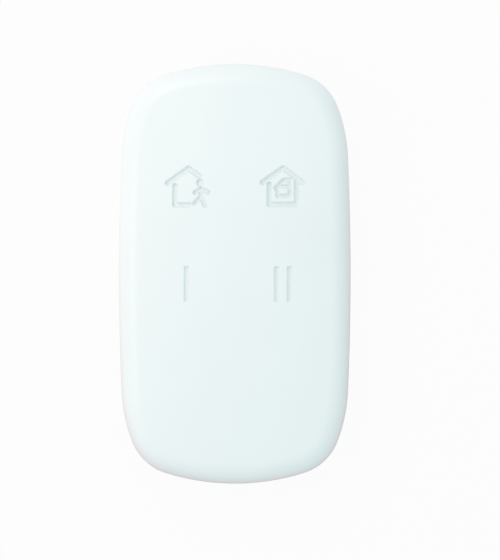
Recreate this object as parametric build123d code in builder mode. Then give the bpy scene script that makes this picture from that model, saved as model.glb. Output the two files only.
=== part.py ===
from build123d import *
import os
from math import asin, cos, degrees, radians, sin, sqrt

# Four-key alarm fob, lying on its back. X runs across it, Y along it with the
# upper end at +Y, and Z up out of its face. The origin is under its middle.
# Lengths are in millimetres and angles in degrees.

# The body
body_width = 35.9
body_length = 65.0
body_height = 11.5

# The plan outline is four tangent arcs in each quarter, from the middle of the
# side to the middle of the end. The side and end radii follow from the rest.
side_turn = 2.56
shoulder_turn = 18.7
shoulder_radius = 24.3
corner_turn = 51.5
corner_radius = 8.2

# The face is crowned both ways and its edges are rounded
crown_radius_across = 110.0
crown_radius_along = 420.0
front_edge_radius = 3.6
back_edge_radius = 3.0

# Shells
skin_thickness = 0.8
skin_web = 0.45
shell_thickness = 1.2
wall_inset = skin_thickness + shell_thickness
fit_gap = 0.02
parting_height = 4.8
seam_gap = 0.15
floor_thickness = 1.5
tongue_thickness = 0.55
tongue_height = 0.6
tongue_gap = 0.06

# Keys
key_pitch_across = 14.6
key_pitch_along = 14.9
upper_row_y = 13.5
key_width = 9.6
key_corner = 3.0
window_width = 12.6
window_corner = 4.2
web_groove_width = 12.0
key_skin_gap = 0.05
key_cap_bottom = 9.25
key_nib_radius = 1.4
key_travel = 0.35

# Board and switches
board_low = parting_height + tongue_height
board_thickness = 1.0
board_high = board_low + board_thickness
board_inset = 2.35
board_pins = [(-4.0, 21.3), (4.0, 21.3), (-12.6, -13.0), (12.6, -13.0)]
board_pin_radius = 0.8
board_posts = [(-4.0, 21.3), (4.0, 21.3)]
board_post_radius = 1.1
switch_width = 5.2
switch_base_height = 0.8
switch_floor = 0.1
switch_frame_margin = 0.1
switch_frame_thickness = 0.25
switch_stem_radius = 1.1
switch_stem_gap = 0.08
switch_stem_length = 1.0
switch_well_radius = 1.7
switch_spare_height = 0.15

# Coin cell and its cover
cell_radius = 10.0
cell_height = 3.2
cell_low = 1.4
cell_high = cell_low + cell_height
cover_y = -10.0
cover_radius = 12.65
cover_low = 0.15
cover_high = 1.5
recess_radius = 12.8
recess_depth = 1.6
throat_radius = 11.5
ledge_high = 2.4
well_radius = 13.0
well_wall_radius = 14.0
plug_outer_radius = 11.35
plug_inner_radius = 10.3
plug_high = 3.2
lug_radius = 12.3
lug_low = 2.5
lug_half_angle = 15.0
cover_turn = 45.0
notch_half_angle = 18.0
notch_radius = 12.5
stop_clear_angle = 1.0
stop_angle = 4.0
stop_radius = 11.7
seal_groove_depth = 0.55
seal_groove_low = 0.45
seal_groove_high = 1.2
coin_slot_length = 15.0
coin_slot_width = 2.0
coin_slot_depth = 0.7
edge_break = 0.2

# Screws
upper_screw = (11.8, 22.2)
lower_screw = (9.0, -26.0)
screw_shank_radius = 0.7
screw_head_radius = 1.5
screw_head_low = 0.7
screw_head_high = 1.9
screw_tip = 7.6
screw_tip_room = 0.3
screw_hole_radius = 0.95
screw_pocket_radius = 1.75
screw_pocket_high = 1.95
back_boss_radius = 2.4
front_boss_radius = 1.95
board_boss_clearance = 0.3

# Strap slot at the upper end
strap_width = 7.0
strap_wall = 1.0
strap_low = 1.9
strap_high = 4.3
strap_inner_y = 26.0
strap_bar_y = 29.0

half_width = body_width / 2
half_length = body_length / 2
shell_low = parting_height + seam_gap
key_places = {
    "away": (-key_pitch_across / 2, upper_row_y),
    "disarm": (key_pitch_across / 2, upper_row_y),
    "part_one": (-key_pitch_across / 2, upper_row_y - key_pitch_along),
    "part_two": (key_pitch_across / 2, upper_row_y - key_pitch_along),
}
screw_places = [(side * x, y) for x, y in (upper_screw, lower_screw) for side in (-1, 1)]
third_turns = (0, 120, 240)

os.makedirs("parts", exist_ok=True)


# Outline and body forms


def closing_radii():
    """Side and end radii with which the four arcs end square to both centre lines."""
    first = radians(side_turn)
    second = radians(side_turn + shoulder_turn)
    third = radians(side_turn + shoulder_turn + corner_turn)
    across = -half_width + shoulder_radius * cos(first)
    across -= (shoulder_radius - corner_radius) * cos(second) + corner_radius * cos(third)
    along = half_length + shoulder_radius * sin(first)
    along -= (shoulder_radius - corner_radius) * sin(second) + corner_radius * sin(third)
    scale = (cos(first) - 1) * (1 - sin(third)) + cos(third) * sin(first)
    side = (across * (1 - sin(third)) + along * cos(third)) / scale
    end = ((cos(first) - 1) * along - sin(first) * across) / scale
    return side, end


side_radius, end_radius = closing_radii()
end_turn = 90 - side_turn - shoulder_turn - corner_turn


def outline(inset):
    """Plan outline of the body, drawn in all round by inset."""
    with BuildLine() as line:
        side = JernArc((half_width - inset, 0), (0, 1), side_radius - inset, side_turn)
        shoulder = JernArc(side @ 1, side % 1, shoulder_radius - inset, shoulder_turn)
        corner = JernArc(shoulder @ 1, shoulder % 1, corner_radius - inset, corner_turn)
        JernArc(corner @ 1, corner % 1, end_radius - inset, end_turn)
        mirror(about=Plane.YZ)
        mirror(about=Plane.XZ)
    return line.line


def crown_block(inset):
    """Block under the crowned face: a shallow arch swung about a far lengthways centre."""
    reach = half_width + 2
    arch = crown_radius_across - inset
    top = body_height - inset
    edge_drop = arch - sqrt(arch**2 - reach**2)
    swing_centre = body_height - crown_radius_along
    swing = 2 * degrees(asin((half_length + 2) / (crown_radius_along - 2 * front_edge_radius)))
    with BuildPart() as block:
        with BuildSketch(Plane.XZ):
            with BuildLine():
                face = ThreePointArc((-reach, top - edge_drop), (0, top), (reach, top - edge_drop))
                Polyline(face @ 1, (reach, 0), (-reach, 0), face @ 0)
            make_face()
        revolve(axis=Axis((0, 0, swing_centre), (1, 0, 0)), revolution_arc=swing)
    return block.part.rotate(Axis((0, 0, swing_centre), (1, 0, 0)), -swing / 2)


def front_form(inset, low):
    """Crowned front of the body above the height low, drawn in all round by inset."""
    crown = crown_block(inset)
    with BuildPart() as form:
        with BuildSketch(Plane.XY.offset(low)):
            with BuildLine():
                add(outline(inset))
            make_face()
        extrude(amount=body_height - low)
        add(crown, mode=Mode.INTERSECT)
        fillet(form.faces().sort_by(Axis.Z)[-1].edges(), radius=front_edge_radius - inset)
    return form.part


def back_form(inset, low, high):
    """Back of the body between two heights, with its lower edge rounded."""
    with BuildPart() as form:
        with BuildSketch(Plane.XY.offset(low)):
            with BuildLine():
                add(outline(inset))
            make_face()
        extrude(amount=high - low)
        fillet(form.faces().sort_by(Axis.Z)[0].edges(), radius=back_edge_radius - inset)
    return form.part


def ring_sector(inner, outer, middle_angle, half_angle):
    """Face of part of a ring, about the middle of the sketch."""
    with BuildSketch() as sector:
        with BuildLine():
            rim = CenterArc((0, 0), outer, middle_angle - half_angle, 2 * half_angle)
            hub = CenterArc((0, 0), inner, middle_angle - half_angle, 2 * half_angle)
            Line(rim @ 0, hub @ 0)
            Line(rim @ 1, hub @ 1)
        make_face()
    return sector.sketch


def cover_plane(height):
    """Plane across the battery cover's axis at a height."""
    return Plane((0, cover_y, height))


cover_axis = Axis((0, cover_y, 0), (0, 0, 1))
cover_section = Plane((0, cover_y, 0), x_dir=(1, 0, 0), z_dir=(0, -1, 0))


# Soft face: one seamless skin, thinned to a web round each key on its underside

web_side = front_form(skin_web, shell_low)
with BuildPart() as web_grooves:
    with BuildSketch(Plane.XY.offset(shell_low)):
        with Locations(*key_places.values()):
            RectangleRounded(web_groove_width, web_groove_width, window_corner)
            RectangleRounded(key_width, key_width, key_corner, mode=Mode.SUBTRACT)
    extrude(amount=body_height)
    add(web_side, mode=Mode.INTERSECT)

skin_outside = front_form(0, shell_low)
skin_inside = front_form(skin_thickness, shell_low - 1)
with BuildPart() as face_skin:
    add(skin_outside)
    add(skin_inside, mode=Mode.SUBTRACT)
    add(web_grooves.part, mode=Mode.SUBTRACT)

face_skin.part.label = "face_skin"
export_step(face_skin.part, "parts/face_skin.step")


# Rigid front shell: windows for the keys, screw bosses and pins that hold the board down

rebate_inset = skin_thickness + tongue_thickness + tongue_gap
rebate_high = board_low + 0.1

shell_outside = front_form(skin_thickness + fit_gap, shell_low)
shell_inside = front_form(wall_inset, shell_low - 1)
pillar_limit = front_form(skin_thickness + shell_thickness / 2, board_low)
with BuildPart() as front_pillars:
    with BuildSketch(Plane.XY.offset(board_low + fit_gap)):
        with Locations(*screw_places):
            Circle(front_boss_radius)
    extrude(amount=body_height)
    with BuildSketch(Plane.XY.offset(board_high)):
        with Locations(*board_pins):
            Circle(board_pin_radius)
    extrude(amount=body_height)
    add(pillar_limit, mode=Mode.INTERSECT)

with BuildPart() as front_shell:
    add(shell_outside)
    add(shell_inside, mode=Mode.SUBTRACT)
    # The tongue of the back shell enters this rebate inside the rim
    with BuildSketch(Plane.XY.offset(shell_low)):
        with BuildLine():
            add(outline(rebate_inset))
        make_face()
    extrude(amount=rebate_high - shell_low, mode=Mode.SUBTRACT)
    add(front_pillars.part)
    with BuildSketch(Plane.XY.offset(board_high)):
        with Locations(*key_places.values()):
            RectangleRounded(window_width, window_width, window_corner)
    extrude(amount=body_height, mode=Mode.SUBTRACT)
    with BuildSketch(Plane.XY.offset(board_low)):
        with Locations(*screw_places):
            Circle(screw_shank_radius + fit_gap)
    extrude(amount=screw_tip + screw_tip_room - board_low, mode=Mode.SUBTRACT)

front_shell.part.label = "front_shell"
export_step(front_shell.part, "parts/front_shell.step")


# Back shell: battery opening with its bayonet ledge, bosses, tongue and strap slot

tongue_inset = rebate_inset + tongue_gap
back_limit = back_form(floor_thickness / 2, floor_thickness / 2, board_low)

with BuildPart() as back_pillars:
    with BuildSketch(Plane.XY):
        with Locations(*screw_places):
            Circle(back_boss_radius)
        with Locations(*board_posts):
            Circle(board_post_radius)
        with Locations((0, cover_y)):
            Circle(well_wall_radius)
    extrude(amount=board_low)
    with BuildSketch(Plane.XY):
        with Locations((0, (strap_inner_y - strap_wall + half_length) / 2)):
            Rectangle(strap_width + 2 * strap_wall, half_length - strap_inner_y + strap_wall)
    extrude(amount=strap_high + strap_wall / 2)
    add(back_limit, mode=Mode.INTERSECT)

back_outside = back_form(0, 0, parting_height)
with BuildPart() as back_shell:
    add(back_outside)
    with BuildSketch(Plane.XY.offset(parting_height)):
        with BuildLine():
            add(outline(tongue_inset))
        make_face()
    extrude(amount=tongue_height)
    with BuildSketch(Plane.XY.offset(floor_thickness)):
        with BuildLine():
            add(outline(wall_inset))
        make_face()
    extrude(amount=board_low - floor_thickness, mode=Mode.SUBTRACT)
    add(back_pillars.part)

    # Battery opening: recess for the cover, ledge for its lugs, well for the cell
    with BuildSketch(cover_plane(0)):
        Circle(recess_radius)
    extrude(amount=recess_depth, mode=Mode.SUBTRACT)
    chamfer(back_shell.edges(Select.LAST).group_by(Axis.Z)[0], length=edge_break)
    with BuildSketch(cover_plane(recess_depth)):
        Circle(throat_radius)
        for turn in third_turns:
            add(ring_sector(plug_outer_radius, notch_radius, turn - cover_turn, notch_half_angle))
    extrude(amount=ledge_high - recess_depth, mode=Mode.SUBTRACT)
    with BuildSketch(cover_plane(ledge_high)):
        Circle(well_radius)
    extrude(amount=board_low - ledge_high, mode=Mode.SUBTRACT)

    # Stops at both ends of each lug's travel
    stop_offset = lug_half_angle + stop_clear_angle + stop_angle / 2
    with BuildSketch(cover_plane(ledge_high)):
        for turn in third_turns:
            for middle in (turn + stop_offset, turn - cover_turn - stop_offset):
                add(ring_sector(stop_radius, well_wall_radius, middle, stop_angle / 2))
    extrude(amount=plug_high - ledge_high)

    # Screw pockets from the back
    with BuildSketch(Plane.XY):
        with Locations(*screw_places):
            Circle(screw_pocket_radius)
    extrude(amount=screw_pocket_high, mode=Mode.SUBTRACT)
    chamfer(back_shell.edges(Select.LAST).group_by(Axis.Z)[0], length=edge_break)
    with BuildSketch(Plane.XY):
        with Locations(*screw_places):
            Circle(screw_hole_radius)
    extrude(amount=board_low, mode=Mode.SUBTRACT)

    # Strap slot: in at the end wall and out at the back, round a bar
    with BuildSketch(Plane.XY.offset(strap_low)):
        with Locations((0, (strap_inner_y + half_length + 1) / 2)):
            Rectangle(strap_width, half_length + 1 - strap_inner_y)
    extrude(amount=strap_high - strap_low, mode=Mode.SUBTRACT)
    with BuildSketch(Plane.XY):
        with Locations((0, (strap_inner_y + strap_bar_y) / 2)):
            Rectangle(strap_width, strap_bar_y - strap_inner_y)
    extrude(amount=strap_high, mode=Mode.SUBTRACT)
    chamfer(back_shell.edges(Select.LAST).group_by(Axis.Z)[0], length=edge_break)

back_shell.part.label = "back_shell"
export_step(back_shell.part, "parts/back_shell.step")


# Battery cover: grooved disc, plug wall round the cell, three bayonet lugs, coin slot

groove_radius = cover_radius - seal_groove_depth

with BuildPart() as battery_cover:
    with BuildSketch(cover_section):
        with BuildLine():
            Polyline(
                (0, cover_low),
                (cover_radius - edge_break, cover_low),
                (cover_radius, cover_low + edge_break),
                (cover_radius, seal_groove_low),
                (groove_radius, seal_groove_low),
                (groove_radius, seal_groove_high),
                (cover_radius, seal_groove_high),
                (cover_radius, cover_high),
                (plug_outer_radius, cover_high),
                (plug_outer_radius, plug_high),
                (plug_inner_radius, plug_high),
                (plug_inner_radius, cell_low),
                (0, cell_low),
                close=True,
            )
        make_face()
    revolve(axis=cover_axis)
    with BuildSketch(cover_plane(lug_low)):
        for turn in third_turns:
            add(ring_sector(plug_inner_radius, lug_radius, turn, lug_half_angle))
    extrude(amount=plug_high - lug_low)
    with BuildSketch(cover_plane(cover_low)):
        SlotOverall(coin_slot_length, coin_slot_width)
    extrude(amount=coin_slot_depth, mode=Mode.SUBTRACT)

battery_cover.part.label = "battery_cover"
export_step(battery_cover.part, "parts/battery_cover.step")


# Square-cut sealing ring in the cover's groove

with BuildPart() as cover_seal:
    with BuildSketch(cover_plane(seal_groove_low + fit_gap)):
        Circle(recess_radius - fit_gap)
        Circle(groove_radius + fit_gap, mode=Mode.SUBTRACT)
    extrude(amount=seal_groove_high - seal_groove_low - 2 * fit_gap)

cover_seal.part.label = "cover_seal"
export_step(cover_seal.part, "parts/cover_seal.step")


# Keys and their switches

key_crown = front_form(skin_thickness + key_skin_gap, shell_low)
switch_frame_low = board_high + switch_base_height
switch_stem_top = switch_frame_low + switch_frame_thickness + key_travel + switch_spare_height
switch_stem_low = switch_stem_top - switch_stem_length

for name, place in key_places.items():
    # Rigid key moulded under the skin, with a nib on the switch
    with BuildPart() as key:
        with BuildSketch(Plane.XY.offset(key_cap_bottom)):
            with Locations(place):
                RectangleRounded(key_width, key_width, key_corner)
        extrude(amount=body_height)
        add(key_crown, mode=Mode.INTERSECT)
        with BuildSketch(Plane.XY.offset(switch_stem_top)):
            with Locations(place):
                Circle(key_nib_radius)
        extrude(amount=key_cap_bottom - switch_stem_top)
    key.part.label = f"key_{name}"
    export_step(key.part, f"parts/key_{name}.step")

    # Switch base with the well that its dome works in
    with BuildPart() as switch_base:
        with BuildSketch(Plane.XY.offset(board_high)):
            with Locations(place):
                Rectangle(switch_width, switch_width)
        extrude(amount=switch_base_height)
        with BuildSketch(Plane.XY.offset(board_high + switch_floor)):
            with Locations(place):
                Circle(switch_well_radius)
        extrude(amount=switch_base_height, mode=Mode.SUBTRACT)
    switch_base.part.label = f"switch_base_{name}"
    export_step(switch_base.part, f"parts/switch_base_{name}.step")

    # Steel frame that guides the stem
    frame_width = switch_width - 2 * switch_frame_margin
    with BuildPart() as switch_frame:
        with BuildSketch(Plane.XY.offset(switch_frame_low)):
            with Locations(place):
                Rectangle(frame_width, frame_width)
                Circle(switch_stem_radius + switch_stem_gap, mode=Mode.SUBTRACT)
        extrude(amount=switch_frame_thickness)
    switch_frame.part.label = f"switch_frame_{name}"
    export_step(switch_frame.part, f"parts/switch_frame_{name}.step")

    # Stem that the key's nib pushes down onto the dome
    with BuildPart() as switch_stem:
        with BuildSketch(Plane.XY.offset(switch_stem_low)):
            with Locations(place):
                Circle(switch_stem_radius)
        extrude(amount=switch_stem_length)
    switch_stem.part.label = f"switch_stem_{name}"
    export_step(switch_stem.part, f"parts/switch_stem_{name}.step")


# Circuit board, cut away round the screw bosses

with BuildPart() as circuit_board:
    with BuildSketch(Plane.XY.offset(board_low)):
        with BuildLine():
            add(outline(board_inset))
        make_face()
        with Locations(*screw_places):
            Circle(back_boss_radius + board_boss_clearance, mode=Mode.SUBTRACT)
    extrude(amount=board_thickness)

circuit_board.part.label = "circuit_board"
export_step(circuit_board.part, "parts/circuit_board.step")


# Components on the board

chip_place = (0, 6.05)
chip_width = 5.0
chip_height = 0.85
chip_bevel = 0.15
crystal_place = (0, 0.5)
crystal_size = (3.2, 2.5, 0.8)
crystal_corner = 0.3
capacitor_size = (1.6, 0.8, 0.8)
capacitor_place = (0, -12.0)
capacitor_columns = 4
capacitor_rows = 2
capacitor_pitch = (3.2, 2.2)

with BuildPart() as radio_chip:
    with BuildSketch(Plane.XY.offset(board_high)):
        with Locations(chip_place):
            Rectangle(chip_width, chip_width)
    extrude(amount=chip_height)
    chamfer(radio_chip.faces().sort_by(Axis.Z)[-1].edges(), length=chip_bevel)

radio_chip.part.label = "radio_chip"
export_step(radio_chip.part, "parts/radio_chip.step")

with BuildPart() as crystal:
    with BuildSketch(Plane.XY.offset(board_high)):
        with Locations(crystal_place):
            RectangleRounded(crystal_size[0], crystal_size[1], crystal_corner)
    extrude(amount=crystal_size[2])

crystal.part.label = "crystal"
export_step(crystal.part, "parts/crystal.step")

with BuildPart() as chip_capacitors:
    with BuildSketch(Plane.XY.offset(board_high)):
        with Locations(capacitor_place):
            with GridLocations(*capacitor_pitch, capacitor_columns, capacitor_rows):
                Rectangle(capacitor_size[0], capacitor_size[1])
    extrude(amount=capacitor_size[2])

chip_capacitors.part.label = "chip_capacitors"
export_step(chip_capacitors.part, "parts/chip_capacitors.step")


# Antenna: a flat strip bent to a hoop, standing on the board along its upper end

antenna_width = 0.8
antenna_thickness = 0.5
antenna_half_span = 8.4
antenna_y = 24.5
antenna_top = board_high + 1.8
antenna_bend = 1.2
antenna_section = Plane((0, antenna_y, 0), x_dir=(1, 0, 0), z_dir=(0, -1, 0))

with BuildPart() as antenna_loop:
    with BuildSketch(antenna_section):
        with BuildLine():
            outer = FilletPolyline(
                (-antenna_half_span, board_high),
                (-antenna_half_span, antenna_top),
                (antenna_half_span, antenna_top),
                (antenna_half_span, board_high),
                radius=antenna_bend,
            )
            offset(outer, antenna_thickness, side=Side.RIGHT)
        make_face()
    extrude(amount=antenna_width / 2, both=True)

antenna_loop.part.label = "antenna_loop"
export_step(antenna_loop.part, "parts/antenna_loop.step")


# Coin cell: can below, cap above and the gasket between them

can_wall = 0.3
can_lip_radius = 9.2
can_high = cell_high - 0.2
cap_radius = 8.75
can_bevel = 0.3
cap_bevel = 0.15
gasket_rise = 0.05

with BuildPart() as battery_can:
    with BuildSketch(cover_section):
        with BuildLine():
            Polyline(
                (0, cell_low),
                (cell_radius - can_bevel, cell_low),
                (cell_radius, cell_low + can_bevel),
                (cell_radius, can_high - can_bevel),
                (cell_radius - can_bevel, can_high),
                (can_lip_radius, can_high),
                (can_lip_radius, can_high - can_wall),
                (cell_radius - can_wall, can_high - can_wall),
                (cell_radius - can_wall, cell_low + can_wall),
                (0, cell_low + can_wall),
                close=True,
            )
        make_face()
    revolve(axis=cover_axis)

battery_can.part.label = "battery_can"
export_step(battery_can.part, "parts/battery_can.step")

with BuildPart() as battery_gasket:
    with BuildSketch(cover_plane(cell_low + can_wall)):
        Circle(can_lip_radius - fit_gap)
        Circle(cap_radius + fit_gap, mode=Mode.SUBTRACT)
    extrude(amount=can_high + gasket_rise - cell_low - can_wall)

battery_gasket.part.label = "battery_gasket"
export_step(battery_gasket.part, "parts/battery_gasket.step")

with BuildPart() as battery_cap:
    with BuildSketch(cover_plane(cell_low + can_wall)):
        Circle(cap_radius)
    extrude(amount=cell_high - cell_low - can_wall)
    chamfer(battery_cap.faces().sort_by(Axis.Z)[-1].edges(), length=cap_bevel)

battery_cap.part.label = "battery_cap"
export_step(battery_cap.part, "parts/battery_cap.step")


# Cell contacts, both fixed under the board

contact_thickness = 0.2
finger_low = 3.5
finger_angle = 25.0
foot_radius = 12.0

with BuildPart() as positive_contact:
    with BuildSketch(cover_plane(finger_low)):
        add(ring_sector(cell_radius, cell_radius + contact_thickness, 180, finger_angle))
    extrude(amount=board_low - finger_low)
    with BuildSketch(cover_plane(board_low - contact_thickness)):
        add(ring_sector(cell_radius, foot_radius, 180, finger_angle))
    extrude(amount=contact_thickness)

positive_contact.part.label = "positive_contact"
export_step(positive_contact.part, "parts/positive_contact.step")

leaf_width = 4.0
leaf_tip = 0.6
leaf_bend = 5.2
leaf_foot = 8.2

with BuildPart() as negative_contact:
    with BuildSketch(cover_section):
        with BuildLine():
            Polyline(
                (leaf_foot, board_low),
                (leaf_bend, board_low),
                (leaf_tip, cell_high + contact_thickness),
                (-leaf_tip, cell_high + contact_thickness),
                (-leaf_tip, cell_high),
                (leaf_tip, cell_high),
                (leaf_bend, board_low - contact_thickness),
                (leaf_foot, board_low - contact_thickness),
                close=True,
            )
        make_face()
    extrude(amount=leaf_width / 2, both=True)

negative_contact.part.label = "negative_contact"
export_step(negative_contact.part, "parts/negative_contact.step")


# Self-tapping screws from the back

with BuildPart() as case_screws:
    with BuildSketch(Plane.XY.offset(screw_head_low)):
        with Locations(*screw_places):
            Circle(screw_head_radius)
    extrude(amount=screw_head_high - screw_head_low)
    with BuildSketch(Plane.XY.offset(screw_head_high)):
        with Locations(*screw_places):
            Circle(screw_shank_radius)
    extrude(amount=screw_tip - screw_head_high)

case_screws.part.label = "case_screws"
export_step(case_screws.part, "parts/case_screws.step")
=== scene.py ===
"""Looks of a four-key alarm fob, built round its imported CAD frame.

The fob lies on its back: X runs across it, Y along it with the upper end at +Y, and Z up
out of its soft face. Lengths are in metres.
"""

from math import cos, pi, radians, sin, sqrt

import bpy
import bmesh
import numpy as np
from bpy.props import FloatProperty, FloatVectorProperty, IntProperty, PointerProperty
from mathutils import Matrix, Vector
from mathutils.geometry import delaunay_2d_cdt


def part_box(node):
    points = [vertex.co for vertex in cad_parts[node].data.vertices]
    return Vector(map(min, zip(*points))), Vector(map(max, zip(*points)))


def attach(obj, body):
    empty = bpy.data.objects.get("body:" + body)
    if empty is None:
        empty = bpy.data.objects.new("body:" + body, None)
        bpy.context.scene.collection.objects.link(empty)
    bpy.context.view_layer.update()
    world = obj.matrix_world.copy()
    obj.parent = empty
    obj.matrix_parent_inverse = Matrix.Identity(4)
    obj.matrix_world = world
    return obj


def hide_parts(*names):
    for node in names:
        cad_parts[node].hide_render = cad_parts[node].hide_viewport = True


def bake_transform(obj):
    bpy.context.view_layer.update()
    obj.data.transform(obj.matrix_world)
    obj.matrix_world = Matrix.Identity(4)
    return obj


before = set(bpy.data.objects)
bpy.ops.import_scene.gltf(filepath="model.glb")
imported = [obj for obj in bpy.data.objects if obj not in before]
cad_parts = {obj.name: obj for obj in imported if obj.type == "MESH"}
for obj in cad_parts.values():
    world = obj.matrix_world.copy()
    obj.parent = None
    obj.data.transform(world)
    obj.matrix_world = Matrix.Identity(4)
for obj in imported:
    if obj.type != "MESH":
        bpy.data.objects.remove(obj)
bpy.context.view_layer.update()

bl_info = {
    "name": "Alarm Key Fob",
    "version": (1, 0, 0),
    "blender": (4, 5, 0),
    "location": "3D View > Sidebar > Key Fob",
    "description": "Soft face with sunk key signs, back case, coin cover, screws and finishes",
    "category": "Object",
}

MM = 0.001
KEYS = ("away", "disarm", "part_one", "part_two")
CASING = "casing"
COVER = "battery_cover"

# Colour sockets of a Mix node
MIX_FIRST, MIX_SECOND, MIX_RESULT = 6, 7, 2

# Relief of worked metal and of the board's tracks
SCRATCH_DEPTH = 1.5e-6
TRACK_DEPTH = 12e-6

# Clear space round a border, as a share of the step between points, so that no point of
# a grid falls on it
CLEAR_SHARE = 0.6
LIP_ROWS = 4

# Corner radius of a bar against its width, and how far from a sign its fine and its
# middling points reach
BAR_CORNER = 0.2
FINE_WALLS = 1.6
MIDDLING_ROWS = 3
# Half the distance over which a sign's slope is measured
SLOPE_STEP = 1e-6
# The web's thin part starts just inside the key's edge and thins within a short ramp
WEB_START = 0.05 * MM
WEB_RAMP = 0.2 * MM

# Reach of a mark's cutter at its two ends, against the mark's size
MARK_TOP, MARK_FOOT = 0.8, 1.2

# Steps round a screw, and its small sizes: the break of the head's edge, the fillet under
# the head, the point and its blunt tip, and the thread's fade
SCREW_STEPS = 32
HEAD_BREAK = 0.06 * MM
SEAT_FILLET = 0.05 * MM
POINT_LENGTH = 0.7 * MM
TIP_LENGTH, TIP_SHOULDER, TIP_RADIUS = 0.05 * MM, 0.3 * MM, 0.22 * MM
THREAD_FADE = 0.3 * MM
# An arm of the recess: its width and its size at the bottom, against its length
ARM_WIDTH, ARM_BOTTOM = 0.26, 0.45
# Turn of the first screw, and how much further each next one is turned
FIRST_TWIST, TWIST = 0.35, 0.9

# Edges sharper than this stay sharp
SHARP_ANGLE = radians(35)

# The floor lies just under the fob's back, so that the two faces don't meet, and the painted
# shade that the fob's edges reflect grows this way
FLOOR_Z = -2e-5
PAINTED_SHADE_HEADING = (0.6, -0.8, 0)

# Strokes of the key signs in millimetres from the middle of each key. Each is a kind of
# stroke and the points along it.
SIGNS = {
    "away": [
        ("house", [(-2.98, 0.44), (0.22, 2.72), (1.96, 1.44)]),
        ("house", [(-1.86, 0.00), (-1.86, -2.92), (0.40, -2.92)]),
        ("head", [(1.98, 0.50)]),
        ("figure", [(2.07, -0.46), (2.11, -1.65)]),
        ("figure", [(2.02, -0.50), (1.22, -1.04)]),
        ("figure", [(2.12, -0.50), (3.30, -0.98)]),
        ("figure", [(2.11, -1.65), (1.18, -2.64)]),
        ("figure", [(2.11, -1.65), (2.76, -3.06)]),
    ],
    "disarm": [
        ("house", [(-2.98, 0.52), (0.17, 2.75), (3.16, 0.54)]),
        ("house", [(-1.92, 0.20), (-1.92, -2.84), (2.26, -2.84), (2.26, 0.95)]),
        ("figure", [(-0.66, -0.10), (-0.66, -1.54), (1.22, -1.54), (1.22, -0.10),
                    (-0.66, -0.10)]),
        ("figure", [(1.22, -0.10), (1.22, 0.92), (0.34, 0.94), (-0.96, -0.34)]),
    ],
    "part_one": [("bar", [(-0.07, -2.92), (-0.07, 2.48)])],
    "part_two": [
        ("bar", [(-0.81, -2.92), (-0.81, 2.48)]),
        ("bar", [(1.17, -2.92), (1.17, 2.48)]),
    ],
}


# Sizes and colours


def length_prop(name, description, millimetres, least=-1e6):
    """Setting for a length, given in millimetres and held in metres."""
    return FloatProperty(name=name, description=description, default=millimetres * MM,
                         min=least * MM, unit="LENGTH")


def angle_prop(name, description, in_degrees):
    """Setting for an angle, given in degrees."""
    return FloatProperty(name=name, description=description, default=radians(in_degrees),
                         subtype="ANGLE")


def share_prop(name, description, default):
    """Setting for a share from 0 to 1."""
    return FloatProperty(name=name, description=description, default=default, min=0, max=1)


def colour_prop(name, description, default, most=1):
    """Setting for a colour."""
    return FloatVectorProperty(name=name, description=description, default=default,
                               subtype="COLOR", min=0, max=most)


def place_prop(name, description, default):
    """Setting for a place in metres."""
    return FloatVectorProperty(name=name, description=description, default=default,
                               subtype="TRANSLATION")


class FaceSettings(bpy.types.PropertyGroup):
    """Form and colour of the soft face."""

    crown_across: length_prop(
        "Crown Across", "Radius of the face's crown across the fob", 110, least=30)
    crown_along: length_prop(
        "Crown Along", "Radius of the face's crown along the fob", 420, least=100)
    edge_radius: length_prop(
        "Edge Radius", "Rounding between the face and the side", 3.6, least=1)
    lip_radius: length_prop(
        "Lip Radius", "Rounding of the skin's edge at the parting line", 0.12, least=0.01)
    side_turn: angle_prop("Side Turn", "Angle of the long side's arc from the middle", 2.56)
    shoulder_turn: angle_prop(
        "Shoulder Turn", "Angle of the arc between side and corner", 18.7)
    corner_turn: angle_prop("Corner Turn", "Angle of the corner's arc", 51.5)
    shoulder_radius: length_prop("Shoulder Radius", "Radius between side and corner", 24.3)
    corner_radius: length_prop("Corner Radius", "Radius of the corners in plan", 8.2)
    skin_thickness: length_prop("Skin Thickness", "Thickness of the soft skin", 0.8)
    outline_step: length_prop("Outline Step", "Distance between points of the outline", 0.45)
    fill_step: length_prop("Fill Step", "Distance between points of the crowned face", 0.8)
    edge_rows: IntProperty(
        name="Edge Rows", description="Rows of faces round the rounded edge",
        default=18, min=4)
    colour: colour_prop("Skin Colour", "Colour of the soft skin", (0.83, 0.92, 0.92))


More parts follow.
